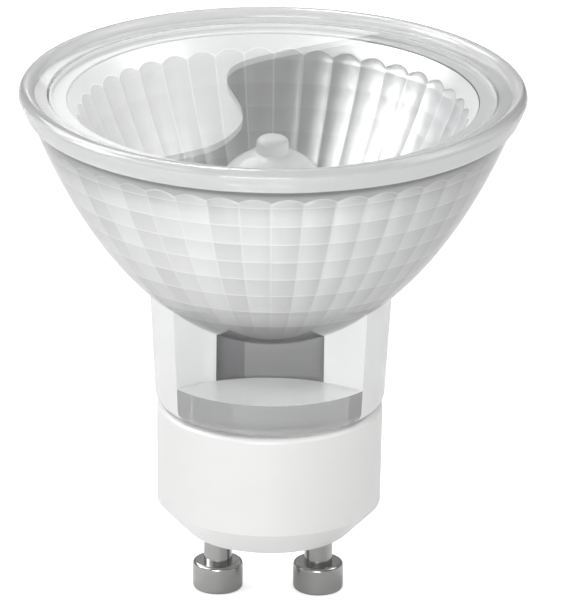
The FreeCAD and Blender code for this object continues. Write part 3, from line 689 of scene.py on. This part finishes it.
def height_group():
    """Nought below one height and one above another, softly between."""
    name = "Height Fade"
    if name in bpy.data.node_groups:
        return bpy.data.node_groups[name]
    group, given, result = node_group(name, (("From", "Float", 0.0), ("To", "Float", 1.0)), (("Mask", "Float"),))
    fade = group.nodes.new("ShaderNodeMapRange")
    fade.interpolation_type = "SMOOTHSTEP"
    group.links.new(axes(group)["Z"], fade.inputs["Value"])
    group.links.new(given.outputs["From"], fade.inputs["From Min"])
    group.links.new(given.outputs["To"], fade.inputs["From Max"])
    group.links.new(fade.outputs["Result"], result.inputs["Mask"])
    return group


def faded_colour(tree, first, second, start, stop):
    """A colour that turns into another between two heights. Each is a socket or an RGBA value."""
    fade = use_group(tree, height_group(), {"From": start, "To": stop})
    return blended(tree, fade.outputs["Mask"], first, second)


def surface_inputs(finish):
    return finish.node_tree.nodes["Principled BSDF"].inputs


def new_finish(name):
    """A new finish, its node tree and the inputs of its surface."""
    finish = bpy.data.materials.new(name)
    finish.use_nodes = True
    return finish, finish.node_tree, surface_inputs(finish)


def shade(tint, factor):
    return (*(channel * factor for channel in tint), 1.0)


def add_relief(finish, height, distance):
    """Gives a finish a bump, up to a distance in metres."""
    tree = finish.node_tree
    bump = tree.nodes.new("ShaderNodeBump")
    bump.inputs["Distance"].default_value = distance
    tree.links.new(height, bump.inputs["Height"])
    tree.links.new(bump.outputs["Normal"], surface_inputs(finish)["Normal"])


def mottled_finish(name, tint, contrast, roughness, scale, relief=0.0, metallic=0.0, coat=0.0):
    """A finish with mottled colour and roughness, and a relief in metres where it has one."""
    finish, tree, inputs = new_finish(name)
    values = {
        "Scale": scale,
        "Low Colour": shade(tint, 1 - contrast),
        "High Colour": shade(tint, 1 + contrast),
        "Low Roughness": roughness[0],
        "High Roughness": roughness[1],
    }
    mottle = use_group(tree, mottle_group(), values)
    tree.links.new(mottle.outputs["Color"], inputs["Base Color"])
    tree.links.new(mottle.outputs["Roughness"], inputs["Roughness"])
    inputs["Metallic"].default_value = metallic
    inputs["Coat Weight"].default_value = coat
    if relief:
        add_relief(finish, mottle.outputs["Height"], relief)
    return finish


def clear_finish(name, tint, roughness, clearness=1.0, relief=0.0, index=GLASS_INDEX, waves=GLASS_WAVES):
    """Glass, clear or a little milky, with a faint waviness where it was pressed or blown."""
    finish, tree, inputs = new_finish(name)
    inputs["Base Color"].default_value = (*tint, 1.0)
    inputs["Roughness"].default_value = roughness
    inputs["IOR"].default_value = index
    inputs["Transmission Weight"].default_value = clearness
    if relief:
        mottle = use_group(tree, mottle_group(), {"Scale": waves})
        add_relief(finish, mottle.outputs["Height"], relief)
    return finish


def let_light_in(finish):
    """Lets the light on what lies behind a clear glass pass it unbent."""
    tree = finish.node_tree
    path = tree.nodes.new("ShaderNodeLightPath")
    light = calculate(tree, "MAXIMUM", path.outputs["Is Shadow Ray"], path.outputs["Is Diffuse Ray"])
    tree.links.new(calculate(tree, "SUBTRACT", 1.0, light), surface_inputs(finish)["Alpha"])


def bowl_finish(name, sizes, tint):
    """Pressed glass with painted shade towards the neck, under the rim and where it is seen edge on."""
    finish = clear_finish(name, tint, 0.05, clearness=0.85, relief=0.04 * MM)
    tree = finish.node_tree
    bottom = sizes.bowl_bottom
    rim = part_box("reflector")[1].z - sizes.rim_depth
    # Painted shade towards the neck, under the rim and in the line at the rim
    tone = shade(tint, NECK_SHADE)
    for next_shade, start, stop in (
        (1.0, *(bottom + rise for rise in NECK_FADE)),
        (RIM_SHADE, *(rim - drop for drop in RIM_FADE)),
        (LINE_SHADE, *(rim - drop for drop in LINE_FADE)),
    ):
        tone = faded_colour(tree, tone, shade(tint, next_shade), start, stop)
    # Painted shade where the bowl is seen edge on
    facing = tree.nodes.new("ShaderNodeLayerWeight").outputs["Facing"]
    edge = calculate(tree, "POWER", facing, EDGE_FALLOFF)
    edge = calculate(tree, "MULTIPLY", edge, EDGE_STRENGTH)
    tone = blended(tree, edge, tone, shade(tint, EDGE_SHADE))
    tree.links.new(tone, surface_inputs(finish)["Base Color"])
    return finish


def mirror_finish(name, sizes, tint):
    """The bright film on the facets. Through the glass its cells differ more and their edges show more."""
    finish, tree, inputs = new_finish(name)
    values = {
        "Columns": sizes.columns,
        "Floor": sizes.mirror_floor,
        "Rise": (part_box("cover_seal")[0].z - sizes.mirror_floor) / sizes.rows,
        "Line": LINE_WIDTH,
    }
    facets = use_group(tree, facet_group(), values).outputs
    through_glass = tree.nodes.new("ShaderNodeNewGeometry").outputs["Backfacing"]
    # Painted shade: the film's tints are darker inside the bowl than through the glass
    tints = []
    for inner, outer in zip(INNER_TINTS, OUTER_TINTS):
        tints.append(blended(tree, through_glass, shade(tint, inner), shade(tint, outer)))
    cells = blended(tree, facets["Tone"], *tints)
    # The lines between cells are painted highlights, brighter than the cells
    lines = []
    for line, strengths in (("Column Line", COLUMN_LINES), ("Row Line", ROW_LINES)):
        strength = blended(tree, through_glass, *strengths)
        lines.append(calculate(tree, "MULTIPLY", facets[line], strength))
    lined = blended(tree, calculate(tree, "MAXIMUM", *lines), cells, shade(tint, OUTER_TINTS[1]))
    tree.links.new(lined, inputs["Base Color"])
    inner = blended(tree, facets["Tone"], *INNER_ROUGHNESS)
    outer = blended(tree, facets["Tone"], *OUTER_ROUGHNESS)
    tree.links.new(blended(tree, through_glass, inner, outer), inputs["Roughness"])
    inputs["Metallic"].default_value = 1.0
    return finish


def dress(finish, *nodes):
    """Gives solids of the frame one finish."""
    for node in nodes:
        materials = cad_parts[node].data.materials
        materials.clear()
        materials.append(finish)


class BULB_OT_reflector(bpy.types.Operator):
    """Builds the pressed-glass reflector with its mirror film"""

    bl_idname = "bulb.reflector"
    bl_label = "Reflector"

    def execute(self, context):
        sizes, colours = context.scene.bulb_reflector, context.scene.bulb_colours
        segments = sizes.columns * SEGMENTS_PER_COLUMN
        rows = reflector_rows(sizes, segment_angles(segments))
        mesh = turned_mesh("reflector_glass", [(rows, True)], segments)
        finishes = {
            BOWL: bowl_finish("bowl_glass", sizes, colours.glass),
            RIM: clear_finish("rim_glass", colours.rim, 0.05, clearness=0.55, relief=0.03 * MM),
            # Painted shade: the plain band is the mirror film in a darker tint
            BAND: mottled_finish("plain_film", colours.plain_film, 0.03, (0.35, 0.45), 300, metallic=0.8),
            MIRROR: mirror_finish("mirror_film", sizes, colours.mirror),
            NECK: clear_finish("neck_glass", colours.neck, 0.22, clearness=0.12, relief=0.04 * MM),
            WEB: clear_finish("web_glass", colours.neck, 0.03, clearness=0.93, relief=0.02 * MM),
            # Painted light: the ledge's top takes the paler glass tint and is nearly opaque, so it shows lighter
            # than the neck
            LEDGE: clear_finish("ledge_glass", colours.glass, 0.2, clearness=0.03, relief=0.04 * MM),
            COLLAR: clear_finish("collar_glass", colours.neck, 0.08, clearness=0.68, relief=0.02 * MM),
            FILM: mottled_finish("slot_film", colours.slot_film, 0.12, (0.4, 0.55), 900),
            # Painted shade on the film: the dark strip in the slot and the shadow line round the mouth
            FILM_PAINTED_SHADE: mottled_finish("painted_shade_on_film", colours.film_shade_paint, 0.12, (0.4, 0.55), 900),
            BEDDED: mottled_finish("bedded_glass", colours.bedded, 0.03, (0.6, 0.8), 900),
            # Painted highlight along the tops of the flutes
            ARCH_GLINT: mottled_finish("painted_arch_highlight", colours.painted_arch_highlight, 0.03, (0.3, 0.4), 300),
        }
        for place in (BOWL, WEB, COLLAR):
            let_light_in(finishes[place])
        piece = piece_object("faceted_reflector", mesh, [finishes[place] for place in sorted(finishes)])
        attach(piece, "root")
        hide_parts("reflector")
        return {"FINISHED"}


class BULB_OT_cover(bpy.types.Operator):
    """Builds the flat cover glass and the ring of sealant under it"""

    bl_idname = "bulb.cover"
    bl_label = "Cover Glass"

    def execute(self, context):
        colours, sizes = context.scene.bulb_colours, context.scene.bulb_cover
        flat = clear_finish("flat_glass", colours.glass, 0.0)
        let_light_in(flat)
        ground = mottled_finish("ground_edge", colours.ground, 0.04, (0.5, 0.65), 1200)
        mesh = turned_mesh("clear_cover", [(cover_rows(sizes), False)], COVER_SEGMENTS)
        cover = piece_object("clear_cover", mesh, (flat, ground))
        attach(cover, "root")
        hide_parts("cover_glass")
        sealant = mottled_finish("pale_sealant", colours.sealant, 0.03, (0.35, 0.5), 700, relief=0.03 * MM)
        mesh = turned_mesh("sealant_ring", [(seal_rows(sizes), True)], COVER_SEGMENTS)
        ring = piece_object("sealant_ring", mesh, (sealant,))
        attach(ring, "root")
        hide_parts("cover_seal")
        return {"FINISHED"}


class BULB_OT_capsule(bpy.types.Operator):
    """Builds the quartz capsule"""

    bl_idname = "bulb.capsule"
    bl_label = "Capsule"

    def execute(self, context):
        shells = capsule_shells(context.scene.bulb_capsule, segment_angles(CAPSULE_SEGMENTS))
        mesh = turned_mesh("quartz_capsule", shells, CAPSULE_SEGMENTS)
        tint = context.scene.bulb_colours.glass
        quartz = clear_finish(
            "quartz", tint, 0.05, clearness=0.12, relief=0.03 * MM, index=QUARTZ_INDEX, waves=QUARTZ_WAVES
        )
        piece = piece_object("quartz_capsule", mesh, (quartz,))
        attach(piece, "root")
        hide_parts("capsule_envelope")
        return {"FINISHED"}


class BULB_OT_wires(bpy.types.Operator):
    """Finishes the filament, its leads, the seal foils and the wires to the pins"""

    bl_idname = "bulb.wires"
    bl_label = "Filament and Wires"

    def execute(self, context):
        colours = context.scene.bulb_colours
        wire = mottled_finish("drawn_wire", colours.wire, 0.1, (0.25, 0.4), 3000, metallic=1.0)
        dress(wire, "filament_lead_lower", "filament_lead_upper", "lead_wire_left", "lead_wire_right")
        foil = mottled_finish("rolled_foil", colours.foil, 0.12, (0.2, 0.4), 2500, metallic=1.0)
        dress(foil, "seal_foil_left", "seal_foil_right")
        tungsten = mottled_finish("tungsten", colours.tungsten, 0.15, (0.4, 0.55), 4000, metallic=1.0)
        dress(tungsten, "filament")
        return {"FINISHED"}


class BULB_OT_cement(bpy.types.Operator):
    """Finishes the cement in the neck and in the base"""

    bl_idname = "bulb.cement"
    bl_label = "Cement"

    def execute(self, context):
        tint = context.scene.bulb_colours.cement
        cement = mottled_finish("dry_cement", tint, 0.08, (0.75, 0.9), 1800, relief=0.1 * MM)
        dress(cement, "capsule_cement", "base_cement")
        return {"FINISHED"}


class BULB_OT_base(bpy.types.Operator):
    """Finishes the ceramic base, with a painted highlight along its upper edge"""

    bl_idname = "bulb.base"
    bl_label = "Ceramic Base"

    def execute(self, context):
        tint = context.scene.bulb_colours.ceramic
        glaze = mottled_finish("glazed_ceramic", tint, 0.012, (0.3, 0.42), 350, relief=0.03 * MM, coat=0.35)
        base_colour = surface_inputs(glaze)["Base Color"]
        # Painted highlight: the ceramic's upper edge is painted brighter than the rest
        plain, bright = base_colour.links[0].from_socket, shade(tint, LIP_HIGHLIGHT)
        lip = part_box("base_cap")[1].z
        start, stop = (lip - drop for drop in LIP_FADE)
        glaze.node_tree.links.new(faded_colour(glaze.node_tree, plain, bright, start, stop), base_colour)
        dress(glaze, "base_cap")
        return {"FINISHED"}


class BULB_OT_pins(bpy.types.Operator):
    """Finishes the two contact pins"""

    bl_idname = "bulb.pins"
    bl_label = "Contact Pins"

    def execute(self, context):
        tint = context.scene.bulb_colours.nickel
        nickel = mottled_finish("nickel_plate", tint, 0.04, (0.14, 0.24), 1500, metallic=1.0)
        dress(nickel, "contact_pin_left", "contact_pin_right")
        return {"FINISHED"}


def seen_directly(tree, glimpse):
    """One for what the camera sees straight, a glimpse in gloss or through glass, and nought for matt surfaces."""
    path = tree.nodes.new("ShaderNodeLightPath")
    by_glass = calculate(tree, "MAXIMUM", path.outputs["Is Glossy Ray"], path.outputs["Is Transmission Ray"])
    glimpsed = calculate(tree, "MULTIPLY", by_glass, glimpse)
    return calculate(tree, "MAXIMUM", path.outputs["Is Camera Ray"], glimpsed)


def make_floor(settings, height):
    """A pale floor that keeps the bulb's shadow, with a glow that the camera sees."""
    finish, tree, inputs = new_finish("pale_floor")
    tone = settings.floor_tone
    inputs["Base Color"].default_value = (tone, tone, tone, 1.0)
    inputs["Roughness"].default_value = 1.0
    inputs["Specular IOR Level"].default_value = 0.0
    inputs["Emission Color"].default_value = WHITE
    seen = seen_directly(tree, settings.floor_glimpse)
    tree.links.new(calculate(tree, "MULTIPLY", seen, settings.floor_glow), inputs["Emission Strength"])
    mesh = square_mesh("studio_floor", settings.floor_width / 2, height)
    floor = piece_object("studio_floor", mesh, (finish,))


def make_world():
    """A soft grey studio, and white where the camera looks past the floor."""
    world = bpy.data.worlds.new("studio_world")
    bpy.context.scene.world = world
    world.use_nodes = True
    tree = world.node_tree
    ramp = tree.nodes.new("ShaderNodeValToRGB")
    for element, (position, tone) in zip(ramp.color_ramp.elements, STUDIO_TONES):
        element.position = position
        element.color = (tone, tone, tone, 1.0)
    tree.links.new(axes(tree, "Generated")["Z"], ramp.inputs["Fac"])
    by_camera = tree.nodes.new("ShaderNodeLightPath").outputs["Is Camera Ray"]
    seen = blended(tree, by_camera, ramp.outputs["Color"], WHITE)
    tree.links.new(seen, tree.nodes["Background"].inputs["Color"])


def make_lamp(name, place, target, size, watts):
    lamp = bpy.data.lights.new(name, "AREA")
    lamp.shape = "RECTANGLE"
    lamp.size, lamp.size_y = size
    lamp.energy = watts
    made = bpy.data.objects.new(name, lamp)
    made.location = place
    made.rotation_mode = "QUATERNION"
    made.rotation_quaternion = (target - Vector(place)).to_track_quat("-Z", "Y")
    bpy.context.scene.collection.objects.link(made)


def camera_place(settings):
    """Where the camera stands, and the direction from what it looks at back to it."""
    back = Vector((0, -math.cos(settings.elevation), math.sin(settings.elevation)))
    target = Vector((settings.target_x, 0, settings.target_height))
    return target + back * settings.distance, back


def make_camera(settings):
    camera = bpy.data.cameras.new("camera")
    camera.lens = settings.lens
    made = bpy.data.objects.new("camera", camera)
    bpy.context.scene.collection.objects.link(made)
    place, back = camera_place(settings)
    level_right = Vector((1, 0, 0))
    level_up = back.cross(level_right)
    right = level_right * math.cos(settings.roll) + level_up * math.sin(settings.roll)
    turn = Matrix((right, back.cross(right), back)).transposed().to_4x4()
    made.matrix_world = Matrix.Translation(place) @ turn
    bpy.context.scene.camera = made


def hang_card(name, mesh, strength):
    """A glowing card that shows only in gloss and glass."""
    finish, _, inputs = new_finish(name)
    inputs["Base Color"].default_value = BLACK
    inputs["Emission Color"].default_value = WHITE
    inputs["Emission Strength"].default_value = strength
    card = piece_object(name, mesh, (finish,))
    card.visible_camera = card.visible_diffuse = card.visible_shadow = False
    return card


def make_side_card(middle):
    """A pale card at the left that brightens the right of the mirror."""
    card = hang_card("side_card", square_mesh("side_card", SIDE_CARD_HALF), SIDE_CARD_STRENGTH)
    place = Vector(SIDE_CARD_PLACE)
    turn = (middle - place).to_track_quat("Z", "Y").to_matrix().to_4x4()
    card.matrix_world = Matrix.Translation(place) @ turn


def smooth_line(points, steps):
    """Places along a smooth line through points, with a number of steps between one point and the next."""
    points = np.array(points, float)
    slopes = np.gradient(points, axis=0)
    places = []
    for (start, finish), (leaving, arriving) in zip(zip(points, points[1:]), zip(slopes, slopes[1:])):
        for step in np.arange(steps) / steps:
            back = 1 - step
            places.append(
                back ** 3 * start + 3 * back ** 2 * step * (start + leaving / 3)
                + 3 * back * step ** 2 * (finish - arriving / 3) + step ** 3 * finish
            )
    return [*places, points[-1]]


def make_glare_card(settings):
    """A pale card behind the bulb, out of the picture, that shows as a glare on the left of the cover glass."""
    cover_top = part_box("cover_glass")[1].z
    eye = camera_place(settings)[0]
    mirrored_eye = Vector((eye.x, eye.y, 2 * cover_top - eye.z))
    places = []
    for across, backward in (*smooth_line(GLARE_EDGE, GLARE_EDGE_STEPS), *GLARE_OUTLINE):
        seen = Vector((across * MM, backward * MM, cover_top))
        places.append(mirrored_eye + (seen - mirrored_eye) * GLARE_REACH)
    mesh = bpy.data.meshes.new("glare_card")
    mesh.from_pydata(places, [], [tuple(range(len(places)))])
    hang_card("glare_card", mesh, GLARE_STRENGTH)


class BULB_OT_stage(bpy.types.Operator):
    """Sets up the floor, the lamps, the world and the camera"""

    bl_idname = "bulb.stage"
    bl_label = "Studio"

    def execute(self, context):
        settings = context.scene.bulb_stage
        context.scene.view_settings.view_transform = "Standard"
        make_floor(settings, cad_box[0].z)
        make_world()
        middle = (cad_box[0] + cad_box[1]) / 2
        for name, place, size, watts in LAMPS:
            make_lamp(name, place, middle, size, watts)
        make_side_card(middle)
        make_glare_card(settings)
        make_camera(settings)
        return {"FINISHED"}


class BULB_PT_panel(bpy.types.Panel):
    """Lists the steps that dress the bulb"""

    bl_idname = "BULB_PT_panel"
    bl_label = "Spotlight Bulb"
    bl_space_type = "VIEW_3D"
    bl_region_type = "UI"
    bl_category = "Bulb"

    def draw(self, context):
        for operator in OPERATORS:
            self.layout.operator(operator.bl_idname)


SETTINGS = {
    "bulb_reflector": ReflectorSizes,
    "bulb_cover": CoverSizes,
    "bulb_capsule": CapsuleSizes,
    "bulb_colours": FinishColours,
    "bulb_stage": StageSettings,
}
OPERATORS = (
    BULB_OT_reflector,
    BULB_OT_cover,
    BULB_OT_capsule,
    BULB_OT_wires,
    BULB_OT_cement,
    BULB_OT_base,
    BULB_OT_pins,
    BULB_OT_stage,
)
CLASSES = (*SETTINGS.values(), *OPERATORS, BULB_PT_panel)


def register():
    for item in CLASSES:
        bpy.utils.register_class(item)
    for name, group in SETTINGS.items():
        setattr(bpy.types.Scene, name, PointerProperty(type=group))


def unregister():
    for name in SETTINGS:
        delattr(bpy.types.Scene, name)
    for item in reversed(CLASSES):
        bpy.utils.unregister_class(item)


def main():
    register()
    bpy.ops.bulb.reflector()
    bpy.ops.bulb.cover()
    bpy.ops.bulb.capsule()
    bpy.ops.bulb.wires()
    bpy.ops.bulb.cement()
    bpy.ops.bulb.base()
    bpy.ops.bulb.pins()
    bpy.ops.bulb.stage()


if __name__ == "__main__":
    main()
